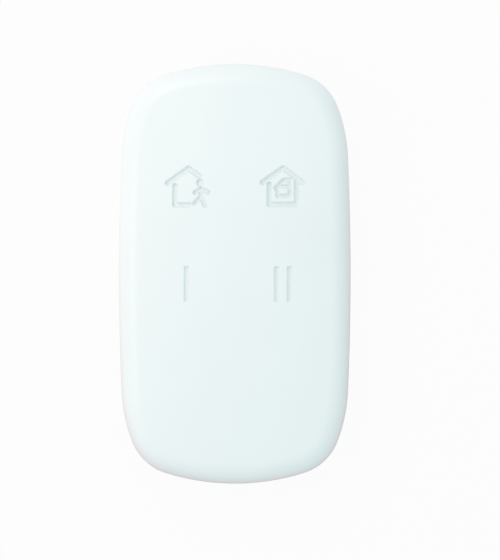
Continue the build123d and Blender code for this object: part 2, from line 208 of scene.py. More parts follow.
class KeySettings(bpy.types.PropertyGroup):
    """Pads over the keys and the signs sunk in them."""

    pitch_across: length_prop("Pitch Across", "Distance between keys across the fob", 14.6)
    pitch_along: length_prop("Pitch Along", "Distance between keys along the fob", 14.9)
    upper_row: length_prop("Upper Row", "Place of the upper keys along the fob", 13.5)
    pad_width: length_prop(
        "Pad Width", "Width of the shell's window, which the pad fills", 12.6)
    pad_corner: length_prop("Pad Corner", "Corner radius of the window", 4.2)
    key_width: length_prop("Key Width", "Width of the rigid key under the skin", 9.6)
    key_corner: length_prop("Key Corner", "Corner radius of the rigid key", 3.0)
    web_width: length_prop("Web Width", "Width of the thin web that bends round a key", 1.2)
    web_thickness: length_prop("Web Thickness", "Thickness of the skin round a key", 0.45)
    house_stroke: length_prop("House Stroke", "Width of the lines of the houses", 0.74)
    figure_stroke: length_prop("Figure Stroke", "Width of the lines inside the houses", 0.60)
    head_size: length_prop("Head Size", "Width of the walking figure's head", 1.06)
    bar_stroke: length_prop("Bar Stroke", "Width of the bars on the lower keys", 0.72)
    sign_depth: length_prop("Sign Depth", "Depth of the houses and figures in the skin", 0.47)
    bar_depth: length_prop("Bar Depth", "Depth of the bars in the skin", 0.38)
    sign_wall: length_prop("Sign Wall", "Width of the sloping wall of a sign", 0.28)
    # Painted shade: the skin's colour is multiplied by this where a sign is deepest
    painted_groove_shade: share_prop(
        "Painted Groove Shade", "Brightness of the skin in a sign against its own", 0.967)
    fine_step: length_prop("Fine Step", "Distance between points in the signs", 0.08)
    coarse_step: length_prop(
        "Coarse Step", "Distance between points away from the signs", 0.3)


class CoverSettings(bpy.types.PropertyGroup):
    """Marks on the battery cover and the back."""

    cover_y: length_prop("Cover Place", "Place of the cover's axis along the fob", -10)
    arrow_ring: length_prop("Arrow Ring", "Distance of the cover's arrow from its axis", 10.6)
    arrow_radius: length_prop("Arrow Radius", "Size of the cover's arrow", 1.1)
    dot_ring: length_prop(
        "Dot Ring", "Distance of the case's dots from the cover's axis", 14.3)
    dot_radius: length_prop("Dot Radius", "Radius of the dots for open and closed", 0.5)
    mark_depth: length_prop("Mark Depth", "Depth of the arrow and the dots", 0.25)
    turn: angle_prop("Cover Turn", "Angle between closed and open", 45)


class ScrewSettings(bpy.types.PropertyGroup):
    """Self-tapping screws that hold the case together."""

    head_radius: length_prop("Head Radius", "Radius of a screw's head", 1.5)
    head_low: length_prop("Head Low", "Height of the head's outer face", 0.7)
    head_high: length_prop("Head High", "Height of the seat under the head", 1.9)
    head_edge: length_prop("Head Edge", "Rounding of the head", 0.35)
    shank_radius: length_prop("Shank Radius", "Radius over the thread's crests", 0.7)
    tip: length_prop("Tip", "Height of the screw's tip", 7.6)
    thread_pitch: length_prop("Thread Pitch", "Distance between the thread's crests", 0.6)
    thread_depth: length_prop("Thread Depth", "Depth of the thread", 0.16)
    recess_length: length_prop("Recess Length", "Length across the cross recess", 1.9)
    recess_depth: length_prop("Recess Depth", "Depth of the cross recess", 0.75)
    upper_place: place_prop(
        "Upper Screw", "Place of the upper right screw", (11.8 * MM, 22.2 * MM, 0))
    lower_place: place_prop(
        "Lower Screw", "Place of the lower right screw", (9.0 * MM, -26.0 * MM, 0))


class StudioSettings(bpy.types.PropertyGroup):
    """Floor, lamps and camera."""

    fill_strength: FloatProperty(
        name="Fill", description="Strength of the even light from all round", default=0.854)
    fill_colour: colour_prop(
        "Fill Colour", "Colour of the even light", (0.93, 1.0, 1.01), most=2)
    key_power: FloatProperty(
        name="Key Power", description="Power of the large lamp", default=0.113, unit="POWER")
    key_size: length_prop("Key Size", "Width of the large lamp", 120)
    key_place: place_prop("Key Place", "Place of the large lamp", (-0.09, 0.165, 0.17))
    side_power: FloatProperty(
        name="Side Power", description="Power of the lamp beside the fob",
        default=0.031, unit="POWER")
    side_size: length_prop("Side Size", "Width of the lamp beside the fob", 60)
    side_place: place_prop(
        "Side Place", "Place of the lamp beside the fob", (-0.11, 0.0, 0.11))
    lamp_colour: colour_prop("Lamp Colour", "Colour of both lamps", (1.0, 0.65, 0.63))
    backdrop: FloatProperty(
        name="Backdrop", description="Brightness of the floor and backdrop", default=0.985)
    floor_tone: share_prop("Floor Tone", "Share of the light that the floor gives back", 0.95)
    # Painted shade on the floor, seen only in the fob's reflections and part of its bounce
    # light
    painted_shade_colour: colour_prop(
        "Painted Shade Colour", "Colour of the card mirrored in the lower right edge",
        (0.5, 0.02, 0.02))
    painted_shade_bounce: share_prop("Painted Shade Bounce", "Share of the card that also lights the edge", 0.2)
    painted_shade_reach: length_prop(
        "Painted Shade Reach", "Distance from the middle where the card is darkest", 25)
    floor_size: length_prop("Floor Size", "Width of the floor", 4000)
    shadow_share: share_prop(
        "Shadow Share", "How much of the floor's own light and shade shows", 0.06)
    camera_place: place_prop(
        "Camera Place", "Place of the camera, which looks straight down",
        (2.36 * MM, -0.96 * MM, 0.6))
    lens: FloatProperty(
        name="Lens", description="Focal length in millimetres", default=246.1)


class FinishSettings(bpy.types.PropertyGroup):
    """Colours of the moulded, metal and electronic parts."""

    shell: colour_prop("Shell", "Colour of the rigid shells", (0.83, 0.91, 0.91))
    key: colour_prop("Keys", "Colour of the rigid keys under the skin", (0.72, 0.75, 0.76))
    board: colour_prop("Board", "Colour of the board's solder resist", (0.02, 0.16, 0.07))
    copper: colour_prop("Copper", "Colour of the antenna strip", (0.72, 0.36, 0.18))
    steel: colour_prop("Steel", "Colour of plated steel", (0.60, 0.60, 0.59))


# Node trees


def fill(node, inputs):
    """Sets or links a node's inputs."""
    for name, value in dict(inputs).items():
        if isinstance(value, bpy.types.NodeSocket):
            node.id_data.links.new(value, node.inputs[name])
        else:
            node.inputs[name].default_value = value


def add_node(tree, kind, inputs=(), **settings):
    """New node with its settings made and its inputs filled."""
    made = tree.nodes.new(kind)
    for name, value in settings.items():
        setattr(made, name, value)
    fill(made, inputs)
    return made


def result(tree, kind, inputs=(), **settings):
    """First output of a new node."""
    return add_node(tree, kind, inputs, **settings).outputs[0]


def calculate(tree, operation, *values):
    """Result of a Math node."""
    return result(tree, "ShaderNodeMath", enumerate(values), operation=operation)


def vector(tree, **parts):
    """Vector from its X, Y and Z."""
    return result(tree, "ShaderNodeCombineXYZ", parts)


def around(tree, angle, reach, middle_y=0.0):
    """X and Y of a point at an angle and a reach from a middle on the Y axis."""
    return {
        "X": calculate(tree, "MULTIPLY", calculate(tree, "COSINE", angle), reach),
        "Y": calculate(tree, "MULTIPLY_ADD", calculate(tree, "SINE", angle), reach, middle_y)}


def spread(tree, value, low, high, start=0.3, end=0.7):
    """Value carried to a range from another, which is a noise's own unless given."""
    return result(tree, "ShaderNodeMapRange", {
        "Value": value, "From Min": start, "From Max": end, "To Min": low, "To Max": high})


def shape_tree(name, **inputs):
    """New Geometry Nodes tree with inputs named by kind, and the sockets that give them."""
    tree = bpy.data.node_groups.new(name, "GeometryNodeTree")
    for kind, labels in {"Geometry": ["Geometry"], **inputs, "Material": ["Material"]}.items():
        for label in labels:
            tree.interface.new_socket(label, socket_type="NodeSocket" + kind)
    tree.interface.new_socket("Geometry", in_out="OUTPUT", socket_type="NodeSocketGeometry")
    return tree, tree.nodes.new("NodeGroupInput").outputs


def close_tree(tree, geometry, material):
    """Ends a tree in real faces with their material."""
    real = result(tree, "GeometryNodeRealizeInstances", {0: geometry})
    smooth = result(tree, "GeometryNodeSetShadeSmooth", {"Geometry": real})
    coloured = result(tree, "GeometryNodeSetMaterial",
                      {"Geometry": smooth, "Material": material})
    add_node(tree, "NodeGroupOutput", {0: coloured})


def copies(tree, shape, count, place, turn):
    """Copies of a shape, each at its own place and turned about Z."""
    spots = result(tree, "GeometryNodePoints", {"Count": count, "Position": place})
    return result(tree, "GeometryNodeInstanceOnPoints", {
        "Points": spots, "Instance": shape, "Rotation": vector(tree, Z=turn)})


def carve(tree, solid, *cutters):
    """Solid with the cutters taken out of it."""
    cut = add_node(tree, "GeometryNodeMeshBoolean", {0: solid}, operation="DIFFERENCE",
                   solver="EXACT")
    for cutter in cutters:
        fill(cut, {1: cutter})
    return cut.outputs[0]


def settle(piece):
    """Keeps what a piece's modifiers make as its plain mesh."""
    graph = bpy.context.evaluated_depsgraph_get()
    made = bpy.data.meshes.new_from_object(
        piece.evaluated_get(graph), preserve_all_data_layers=True, depsgraph=graph)
    piece.modifiers.clear()
    piece.data = made


def grow(piece, tree, values):
    """Runs a tree on a piece's mesh."""
    modifier = piece.modifiers.new(tree.name, "NODES")
    modifier.node_group = tree
    for item in tree.interface.items_tree:
        if item.in_out == "INPUT" and item.name in values:
            modifier[item.identifier] = values[item.name]
    settle(piece)


def even_shading(piece):
    """Shades flats flat and rounds round, whatever the sizes of the faces."""
    piece.data.shade_smooth()
    piece.data.set_sharp_from_angle(angle=SHARP_ANGLE)
    piece.modifiers.new("Weighted", "WEIGHTED_NORMAL").keep_sharp = True
    settle(piece)


# Materials


def new_material(name, colour, roughness, metallic=0.0):
    """Tree, shader and place of a new material with its colour and gloss set."""
    material = bpy.data.materials.new(name)
    material.use_nodes = True
    material.diffuse_color = (*colour, 1)
    tree = material.node_tree
    shader = tree.nodes["Principled BSDF"]
    fill(shader, {"Base Color": (*colour, 1), "Roughness": roughness, "Metallic": metallic})
    place = add_node(tree, "ShaderNodeTexCoord").outputs["Object"]
    return tree, shader, place


def mottle(tree, place, scale, detail=3.0):
    """Even noise between 0 and 1."""
    return result(tree, "ShaderNodeTexNoise",
                  {"Vector": place, "Scale": scale, "Detail": detail})


def two_tone(tree, share, first, second, blend_type="MIX"):
    """Colour between two, by a share from 0 to 1. The first may be a socket."""
    if not isinstance(first, bpy.types.NodeSocket):
        first = (*first, 1)
    return add_node(
        tree, "ShaderNodeMix", {0: share, MIX_FIRST: first, MIX_SECOND: (*second, 1)},
        data_type="RGBA", blend_type=blend_type).outputs[MIX_RESULT]


def shade(colour, factor):
    """Colour made lighter or darker by a factor."""
    return tuple(min(1.0, part * factor) for part in colour)


def relief(tree, height, distance):
    """Normal of a fine relief, distance metres deep."""
    return result(tree, "ShaderNodeBump",
                  {"Strength": 1.0, "Distance": distance, "Height": height})


def moulded(name, colour, roughness, grain, depth, cloud=55.0, cloud_share=0.02):
    """Moulded plastic or rubber: a fine eroded grain, a faint cloud and uneven gloss."""
    tree, shader, place = new_material(name, colour, roughness)
    cloudy = spread(tree, mottle(tree, place, cloud), 0, 1)
    gloss = mottle(tree, place, grain / 6)
    fill(shader, {
        "Base Color": two_tone(
            tree, cloudy, shade(colour, 1 - cloud_share), shade(colour, 1 + cloud_share)),
        "Roughness": spread(tree, gloss, roughness - 0.05, roughness + 0.05),
        "Normal": relief(tree, mottle(tree, place, grain, 2.0), depth)})
    return tree, shader


def soft_skin(colour, painted_groove_shade):
    """Satin elastomer, with painted shade that darkens it in the sunk signs."""
    tree, shader = moulded("Soft Skin", colour, 0.4, 7000.0, 2.2e-6, 45.0, 0.012)
    plain = shader.inputs["Base Color"].links[0].from_socket
    # Painted shade: the skin's colour is darkened in the signs, more where they sink deeper
    sunk = add_node(tree, "ShaderNodeAttribute", attribute_name="groove_shade_share").outputs["Fac"]
    fill(shader, {"Base Color": two_tone(tree, sunk, plain, [painted_groove_shade] * 3, "MULTIPLY")})


def worked_metal(name, colour, roughness, lie, grain=1500.0):
    """Rolled, drawn or plated metal with scratches along its lie and uneven gloss."""
    tree, shader, place = new_material(name, colour, roughness, 1.0)
    along = result(tree, "ShaderNodeMapping", {"Vector": place, "Scale": lie})
    lines = mottle(tree, along, grain, 4.0)
    stain = spread(tree, mottle(tree, place, grain / 12), 0, 1)
    fill(shader, {
        "Base Color": two_tone(tree, stain, shade(colour, 0.9), shade(colour, 1.08)),
        "Roughness": spread(tree, lines, roughness - 0.06, roughness + 0.1),
        "Normal": relief(tree, lines, SCRATCH_DEPTH)})


def board_material(colour):
    """Solder resist over copper tracks."""
    tree, shader, place = new_material("Board Resist", colour, 0.3)
    tracks = add_node(tree, "ShaderNodeTexBrick", {
        "Vector": place, "Scale": 1.0, "Mortar Size": 0.00016, "Mortar Smooth": 0.3,
        "Brick Width": 0.0023, "Row Height": 0.0009}).outputs["Fac"]
    rise = calculate(tree, "MULTIPLY_ADD", tracks, 1.0, mottle(tree, place, 3000.0))
    fill(shader, {
        "Base Color": two_tone(tree, tracks, colour, shade(colour, 1.7)),
        "Roughness": spread(tree, mottle(tree, place, 400.0), 0.24, 0.36),
        "Normal": relief(tree, rise, TRACK_DEPTH)})


def make_materials(context):
    """Makes every finish of the fob."""
    scene = context.scene
    finish = scene.fob_finish
    soft_skin(scene.fob_face.colour, scene.fob_keys.painted_groove_shade)
    moulded("Satin Plastic", finish.shell, 0.45, 4200.0, 3.5e-6)
    moulded("Key Plastic", finish.key, 0.42, 3200.0, 4e-6)
    moulded("Seal Rubber", (0.025, 0.025, 0.026), 0.6, 5000.0, 5e-6, 200.0, 0.2)
    moulded("Chip Moulding", (0.022, 0.022, 0.024), 0.48, 6500.0, 5e-6, 600.0, 0.25)
    moulded("Switch Moulding", (0.035, 0.035, 0.038), 0.4, 5000.0, 3e-6, 500.0, 0.2)
    moulded("Stem Moulding", (0.09, 0.088, 0.085), 0.38, 5000.0, 3e-6, 500.0, 0.15)
    moulded("Gasket Polymer", (0.52, 0.51, 0.47), 0.5, 4000.0, 4e-6, 300.0, 0.06)
    moulded("Capacitor Ceramic", (0.42, 0.29, 0.17), 0.4, 6000.0, 5e-6, 900.0, 0.12)
    worked_metal("Stamped Steel", finish.steel, 0.26, (1, 6, 1))
    worked_metal("Cell Nickel", (0.66, 0.66, 0.63), 0.24, (1, 9, 1), 900.0)
    worked_metal("Contact Spring", (0.64, 0.61, 0.55), 0.22, (6, 1, 1))
    worked_metal("Screw Zinc", (0.52, 0.53, 0.55), 0.3, (1, 1, 5), 2200.0)
    worked_metal("Antenna Copper", finish.copper, 0.25, (0.3, 3, 3))
    board_material(finish.board)


def material_of(name):
    """Finish made earlier by the finishes operator."""
    return bpy.data.materials[name]


# Form of the body


def lengths(vectors):
    """Length of each row's vector."""
    return np.linalg.norm(vectors, axis=1)


def quarter_arcs(face, half_width, half_length):
    """Pivots, radii and end headings of the plan's four arcs in one quarter."""
    first = face.side_turn
    second = first + face.shoulder_turn
    third = second + face.corner_turn
    shoulder, corner = face.shoulder_radius, face.corner_radius
    across = (shoulder * cos(first) - half_width
              - (shoulder - corner) * cos(second) - corner * cos(third))
    along = (half_length + shoulder * sin(first)
             - (shoulder - corner) * sin(second) - corner * sin(third))
    scale = (cos(first) - 1) * (1 - sin(third)) + cos(third) * sin(first)
    side = (across * (1 - sin(third)) + along * cos(third)) / scale
    end = ((cos(first) - 1) * along - sin(first) * across) / scale
    radii = [side, shoulder, corner, end]
    headings = [0.0, first, second, third, pi / 2]
    pivots = [np.array((half_width - side, 0.0))]
    for k in range(3):
        turn = np.array((cos(headings[k + 1]), sin(headings[k + 1])))
        pivots.append(pivots[k] + (radii[k] - radii[k + 1]) * turn)
    return pivots, radii, headings


class Body:
    """The fob's outer form: crowned face, rounded edge and plan outline."""

    def __init__(self, face):
        low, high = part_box("face_skin")
        self.half_width = high.x
        self.half_length = high.y
        self.low = low.z
        self.top = high.z
        self.face = face
        pivots, radii, headings = quarter_arcs(face, self.half_width, self.half_length)
        quarter = []
        for k in range(4):
            span = headings[k + 1] - headings[k]
            steps = max(2, int(radii[k] * span / face.outline_step))
            for j in range(steps + (k == 3)):
                quarter.append((headings[k] + span * j / steps, *pivots[k], radii[k]))
        quarter = np.array(quarter)
        turned = quarter[::-1][1:]
        loop = [quarter, turned * (-1, -1, 1, 1) + (pi, 0, 0, 0),
                quarter[1:] * (1, -1, -1, 1) + (pi, 0, 0, 0),
                turned[:-1] * (-1, 1, -1, 1) + (2 * pi, 0, 0, 0)]
        loop = np.concatenate(loop)
        self.heading, self.pivot, self.reach = loop[:, 0], loop[:, 1:3], loop[:, 3]
        self.outward = np.stack((np.cos(self.heading), np.sin(self.heading)), 1)

    def plan(self, inset):
        """Points of the outline drawn in by inset."""
        return self.pivot + (self.reach - inset)[:, None] * self.outward

    def crown(self, spots, inset=0.0):
        """Points of the crowned face over plan spots, and their normals."""
        across, along = self.face.crown_across, self.face.crown_along
        x, y = spots[:, 0], spots[:, 1]
        swing = along - across + np.sqrt((across - inset) ** 2 - x**2)
        height = np.sqrt(swing**2 - y**2)
        points = np.stack((x, y, self.top - along + height), 1)
        hub = along - across
        tube = np.stack((0 * x, hub * y / swing, self.top - along + hub * height / swing), 1)
        return points, (points - tube) / (across - inset)


def turn_between(first, second, share):
    """Unit vectors a share of the way from first to second."""
    angle = np.arccos(np.clip((first * second).sum(1), -1, 1))[:, None]
    parts = np.sin((1 - share) * angle) * first, np.sin(share * angle) * second
    return sum(parts) / np.sin(angle)


def square_distance(spots, width, corner):
    """Distance outside a rounded square or rectangle about the middle, negative inside."""
    past = np.abs(spots) - (np.asarray(width) / 2 - corner)
    return lengths(np.maximum(past, 0)) + np.minimum(past.max(1), 0) - corner


def grid_spots(half_x, half_y, step):
    """Grid of plan spots with its middle row and column through the middle."""
    across = np.arange(-int(half_x / step), int(half_x / step) + 1) * step
    along = np.arange(-int(half_y / step), int(half_y / step) + 1) * step
    return np.stack(np.meshgrid(across, along), -1).reshape(-1, 2)


def triangulate(spots, loops):
    """Triangles over plan spots, anticlockwise. The loops' edges are kept."""
    edges = [(loop[j - 1], loop[j]) for loop in loops for j in range(len(loop))]
    flat = [Vector(spot) for spot in (spots / MM).tolist()]
    _, _, faces, sources, _, _ = delaunay_2d_cdt(flat, edges, [], 0, 1e-6)
    corners = np.array([[sources[v][0] for v in face] for face in faces])
    a, b, c = (spots[corners[:, k]] for k in range(3))
    (run_x, run_y), (side_x, side_y) = (b - a).T, (c - a).T
    turn = run_x * side_y - run_y * side_x
    corners[turn < 0] = corners[turn < 0][:, ::-1]
    return corners[np.abs(turn) > 1e-14]


def band(first, second):
    """Faces between two rows of the same closed loop."""
    ahead_first, ahead_second = np.roll(first, -1), np.roll(second, -1)
    return np.stack((first, ahead_first, ahead_second, second), 1)


# Pieces


def add_object(name, data, place=(0, 0, 0)):
    """New object in the scene."""
    made = bpy.data.objects.new(name, data)
    made.location = place
    bpy.context.scene.collection.objects.link(made)
    return made


def add_piece(name, mesh, *materials):
    """New piece at the origin. One that is grown later gets its finish then."""
    for material in materials:
        mesh.materials.append(material)
    return add_object(name, mesh)


def read(items, name, kind=float, width=1):
    """Array of one value of every item, or of width values."""
    values = np.zeros(len(items) * width, kind)
    items.foreach_get(name, values)
    return values


def build_mesh(name, points, groups, normals):
    """Mesh from groups of faces. Each group is (faces, rounded), and a rounded one is
    shaded by the points' own normals."""
    mesh = bpy.data.meshes.new(name)
    faces = [face for part, _ in groups for face in part.tolist()]
    mesh.from_pydata(points.tolist(), [], faces)
    mesh.validate()
    rounded = np.concatenate([np.full(len(part), kept) for part, kept in groups])
    owner = np.repeat(np.arange(len(faces)), read(mesh.polygons, "loop_total", int))
    flat_normals = read(mesh.polygons, "normal", width=3).reshape(-1, 3)
    corners = read(mesh.loops, "vertex_index", int)
    shown = np.where(rounded[owner][:, None], normals[corners], flat_normals[owner])
    mesh.shade_smooth()
    mesh.normals_split_custom_set(shown.tolist())
    return mesh


def key_middles(keys):
    """Middle of each key in plan, by name."""
    x = keys.pitch_across / 2
    rows = (keys.upper_row, keys.upper_row - keys.pitch_along)
    places = [np.array((side * x, y)) for y in rows for side in (-1, 1)]
    return dict(zip(KEYS, places))


def window_loop(keys, middle=(0, 0)):
    """Points round the edge of a pad, anticlockwise."""
    corner, step = keys.pad_corner, keys.coarse_step
    flat = keys.pad_width / 2 - corner
    arc_steps = int(corner * pi / 2 / step) + 1
    flat_steps = int(2 * flat / step) + 1
    loop = []
    for side in range(4):
        start = side * pi / 2
        out, along = (cos(start), sin(start)), (-sin(start), cos(start))
        for j in range(flat_steps):
            reach = flat * (2 * j / flat_steps - 1)
            loop.append([out[i] * keys.pad_width / 2 + along[i] * reach for i in (0, 1)])
        for j in range(arc_steps):
            angle = start + pi / 2 * j / arc_steps
            loop.append([(out[i] + along[i]) * flat + (cos(angle), sin(angle))[i] * corner
                         for i in (0, 1)])
    return np.array(loop) + middle


def window_distance(keys, spots):
    """Distance outside the edge of a pad about the middle, negative inside it."""
    return square_distance(spots, keys.pad_width, keys.pad_corner)


def windowed_face(body, keys, rim):
    """Plan spots of the face round its windows, the loops of its borders, and triangles."""
    middles = key_middles(keys).values()
    loops = [rim, *(window_loop(keys, middle) for middle in middles)]
    spots = grid_spots(body.half_width, body.half_length, body.face.fill_step)
    clear = body.face.fill_step * CLEAR_SHARE
    # The rim is nearly the outline drawn in, so a spot is inside where it is inside every
    # edge of that convex loop
    edge = np.roll(rim, -1, 0) - rim
    out = np.stack((edge[:, 1], -edge[:, 0]), 1) / lengths(edge)[:, None]
    inside = ((spots[:, None] - rim[None]) * out[None]).sum(-1).max(1) < -clear
    for middle in middles:
        inside &= window_distance(keys, spots - middle) > clear
    flat = np.concatenate(loops + [spots[inside]])
    starts = np.cumsum([0] + [len(loop) for loop in loops])
    borders = [np.arange(a, b) for a, b in zip(starts, starts[1:])]
    triangles = triangulate(flat, borders)
    for middle in middles:
        inner = window_distance(keys, flat[triangles].mean(1) - middle) <= 0
        triangles = triangles[~inner]
    return flat, borders, triangles


def soft_face_mesh(face, keys):
    """The skin with four windows, which the pads fill without a step."""
    body = Body(face)
    flat_out = np.column_stack((body.outward, 0 * body.heading))
    lip = face.lip_radius
    lip_hub = np.column_stack((body.plan(lip), 0 * body.heading + body.low + lip))
    edge_hub, edge_lean = body.crown(body.plan(face.edge_radius), face.edge_radius)
    down = np.zeros_like(flat_out) - (0, 0, 1)

    # Rows of points from the lip up to the rim of the crown, outside and inside
    lip_normals = [turn_between(down, flat_out, j / LIP_ROWS) for j in range(LIP_ROWS + 1)]
    edge_normals = [turn_between(flat_out, edge_lean, j / face.edge_rows)
                    for j in range(face.edge_rows + 1)]
    edge_rows = [edge_hub + face.edge_radius * normal for normal in edge_normals]
    rows = [lip_hub + lip * normal for normal in lip_normals] + edge_rows
    foot = np.column_stack((body.plan(face.skin_thickness), 0 * body.heading + body.low))
    inner_rows = [foot] + [row - face.skin_thickness * normal
                           for row, normal in zip(edge_rows, edge_normals)]

    flat, borders, triangles = windowed_face(body, keys, rows[-1][:, :2])
    top, top_normals = body.crown(flat)
    under = top - face.skin_thickness * top_normals
    count = len(borders[0])
    top[:count] = rows[-1]
    under[:count] = inner_rows[-1]
    points = np.concatenate(rows[:-1] + inner_rows[:-1] + [top, under])
    normals = np.concatenate(
        lip_normals + edge_normals[:-1] + [-flat_out] + [-n for n in edge_normals[:-1]]
        + [top_normals, -top_normals])

    inner_start = (len(rows) - 1) * count
    top_start = inner_start + (len(inner_rows) - 1) * count
    under_start = top_start + len(flat)
    outer_starts = [*range(0, inner_start, count), top_start]
    inner_starts = [*range(inner_start, top_start, count), under_start]
    outer, inner = ([np.arange(count) + start for start in starts]
                    for starts in (outer_starts, inner_starts))
    groups = [(band(a, b), True) for a, b in zip(outer, outer[1:])]
    groups += [(band(b, a), True) for a, b in zip(inner, inner[1:])]
    groups += [(band(inner[0], outer[0]), False), (triangles + top_start, True),
               (triangles[:, ::-1] + under_start, True)]
    groups += [(band(border + under_start, border + top_start)[:, ::-1], False)
               for border in borders[1:]]
    return build_mesh("soft_face", points, groups, normals)


def stroke_distance(spots, line):
    """Distance from a stroke's middle line."""
    nearest = lengths(spots - line[0])
    for start, end in zip(line, line[1:]):
        run = end - start
        share = np.clip(((spots - start) @ run) / (run @ run), 0, 1)[:, None]
        nearest = np.minimum(nearest, lengths(spots - start - share * run))
    return nearest


def sign_distance(spots, sign, keys):
    """Distance outside a key's sign, negative in its grooves."""
    widths = {"house": keys.house_stroke, "figure": keys.figure_stroke,
              "head": keys.head_size}
    nearest = np.full(len(spots), np.inf)
    for kind, line in SIGNS[sign]:
        line = np.array(line) * MM
        if kind == "bar":
            size = line[1] - line[0] + (keys.bar_stroke, 0)
            distance = square_distance(
                spots - line.mean(0), size, BAR_CORNER * keys.bar_stroke)
        else:
            distance = stroke_distance(spots, line) - widths[kind] / 2
        nearest = np.minimum(nearest, distance)
    return nearest


def smooth_step(value):
    """Smooth rise from 0 to 1."""
    value = np.clip(value, 0, 1)
    return value * value * (3 - 2 * value)


def sign_sink(spots, sign, keys):
    """Depth of a sign at plan spots about the key's middle."""
    distance = sign_distance(spots, sign, keys)
    depth = keys.bar_depth if SIGNS[sign][0][0] == "bar" else keys.sign_depth
    return depth * smooth_step(0.5 - distance / keys.sign_wall)


def pad_mesh(name, face, keys, middle, sign):
    """Pad over one key: the face's own crown with the key's sign sunk in it. Also gives
    how far each point follows the key."""
    body = Body(face)
    loop = window_loop(keys, middle) - middle
    half = keys.pad_width / 2

    def pad_grid(step):
        spots = grid_spots(half, half, step)
        return spots[window_distance(keys, spots) < -CLEAR_SHARE * step]

    def round_sign(step, low, high):
        spots = pad_grid(step)
        distance = np.abs(sign_distance(spots, sign, keys))
        return spots[(distance >= low) & (distance < high)]

    middling_step = keys.fine_step * 2
    fine_end = keys.sign_wall * FINE_WALLS
    middling_end = fine_end + MIDDLING_ROWS * middling_step
    flat = np.concatenate((
        loop, round_sign(keys.fine_step, 0, fine_end),
        round_sign(middling_step, fine_end, middling_end),
        round_sign(keys.coarse_step, middling_end, np.inf)))
    ring = np.arange(len(loop))
    triangles = triangulate(flat, [ring])
    crown, lean = body.crown(flat + middle)
    sink = sign_sink(flat, sign, keys)
    top = crown - sink[:, None] * lean
    slope = [(sign_sink(flat + step, sign, keys) - sign_sink(flat - step, sign, keys))
             / (2 * SLOPE_STEP) for step in np.eye(2) * SLOPE_STEP]
    top_normals = lean + np.stack((*slope, 0 * sink), 1)
    top_normals /= lengths(top_normals)[:, None]

    flat_under = np.concatenate((loop, pad_grid(keys.coarse_step)))
    crown_under, lean_under = body.crown(flat_under + middle)
    past_key = square_distance(flat_under, keys.key_width, keys.key_corner)
    web = smooth_step((past_key + WEB_START) / WEB_RAMP)
    web *= 1 - smooth_step((past_key - keys.web_width) / WEB_RAMP)
    thickness = face.skin_thickness - web * (face.skin_thickness - keys.web_thickness)
    under = crown_under - thickness[:, None] * lean_under
    triangles_under = triangulate(flat_under, [ring])[:, ::-1] + len(flat)

    points = np.concatenate((top, under))
    normals = np.concatenate((top_normals, -lean_under))
    groups = [(triangles, True), (triangles_under, True),
              (band(ring + len(flat), ring), False)]
    mesh = build_mesh(name, points, groups, normals)
    # Share of the full depth at each point, by which the skin's material paints shade into the
    # signs
    share = np.concatenate((sink / keys.sign_depth, np.zeros(len(under))))
    mesh.attributes.new("groove_shade_share", "FLOAT", "POINT").data.foreach_set(
        "value", share.astype(np.float32))
    bent = square_distance(points[:, :2] - middle, keys.key_width, keys.key_corner)
    return mesh, 1 - smooth_step(bent / keys.web_width)


def merged_copy(node):
    """Mesh of a CAD node with its loose triangles joined."""
    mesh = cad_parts[node].data.copy()
    mesh.materials.clear()
    work = bmesh.new()
    work.from_mesh(mesh)
    bmesh.ops.remove_doubles(work, verts=work.verts, dist=1e-7)
    work.to_mesh(mesh)
    work.free()
    for layer in ("custom_normal", "sharp_face", "sharp_edge"):
        if layer in mesh.attributes:
            mesh.attributes.remove(mesh.attributes[layer])
    return mesh


def marks_tree():
    """Tree that sinks a row of marks, set in an arc, into a surface from below."""
    tree, given = shape_tree(
        "Sunk Marks", Int=["Count", "Sides"],
        Float=["First Angle", "Angle Step", "Ring", "Size", "Low", "Mark Depth",
               "Cover Place"])
    index = result(tree, "GeometryNodeInputIndex")
    angle = calculate(tree, "MULTIPLY_ADD", index, given["Angle Step"], given["First Angle"])
    place = vector(tree, Z=given["Low"],
                   **around(tree, angle, given["Ring"], given["Cover Place"]))
    # Each cutter is a cone halfway out of the surface, so that a mark's wall slopes
    cutter = result(tree, "GeometryNodeMeshCone", {
        "Vertices": given["Sides"],
        "Radius Top": calculate(tree, "MULTIPLY", given["Size"], MARK_TOP),
        "Radius Bottom": calculate(tree, "MULTIPLY", given["Size"], MARK_FOOT),
        "Depth": calculate(tree, "MULTIPLY", given["Mark Depth"], 2.0)})
    drop = vector(tree, Z=calculate(tree, "MULTIPLY", given["Mark Depth"], -1.0))
    lowered = result(tree, "GeometryNodeTransform", {"Geometry": cutter, "Translation": drop})
    cutters = copies(tree, lowered, given["Count"], place, angle)
    real = result(tree, "GeometryNodeRealizeInstances", {0: cutters})
    close_tree(tree, carve(tree, given["Geometry"], real), given["Material"])
    return tree


def screw_profile(screw):
    """Half section of a screw from its head's middle to its tip, as a polyline."""
    edge, seat = screw.head_edge, screw.head_high
    line = [(0, screw.head_low)]
    for j in range(6):
        angle = pi / 2 * j / 5
        line.append((screw.head_radius - edge + edge * sin(angle),
                     screw.head_low + edge - edge * cos(angle)))
    shank = seat + SEAT_FILLET
    line += [(screw.head_radius, seat - HEAD_BREAK), (screw.head_radius - HEAD_BREAK, seat),
             (screw.shank_radius + SEAT_FILLET, seat), (screw.shank_radius, shank)]
    taper = screw.tip - POINT_LENGTH
    rows = int((taper - seat) / (screw.thread_pitch / 8))
    line += [(screw.shank_radius, shank + (taper - shank) * j / rows)
             for j in range(1, rows + 1)]
    line += [(TIP_SHOULDER, screw.tip - TIP_LENGTH), (TIP_RADIUS, screw.tip), (0, screw.tip)]
    mesh = bpy.data.meshes.new("screw_profile")
    mesh.from_pydata([(r, 0, z) for r, z in line],
                     [(j, j + 1) for j in range(len(line) - 1)], [])
    return mesh


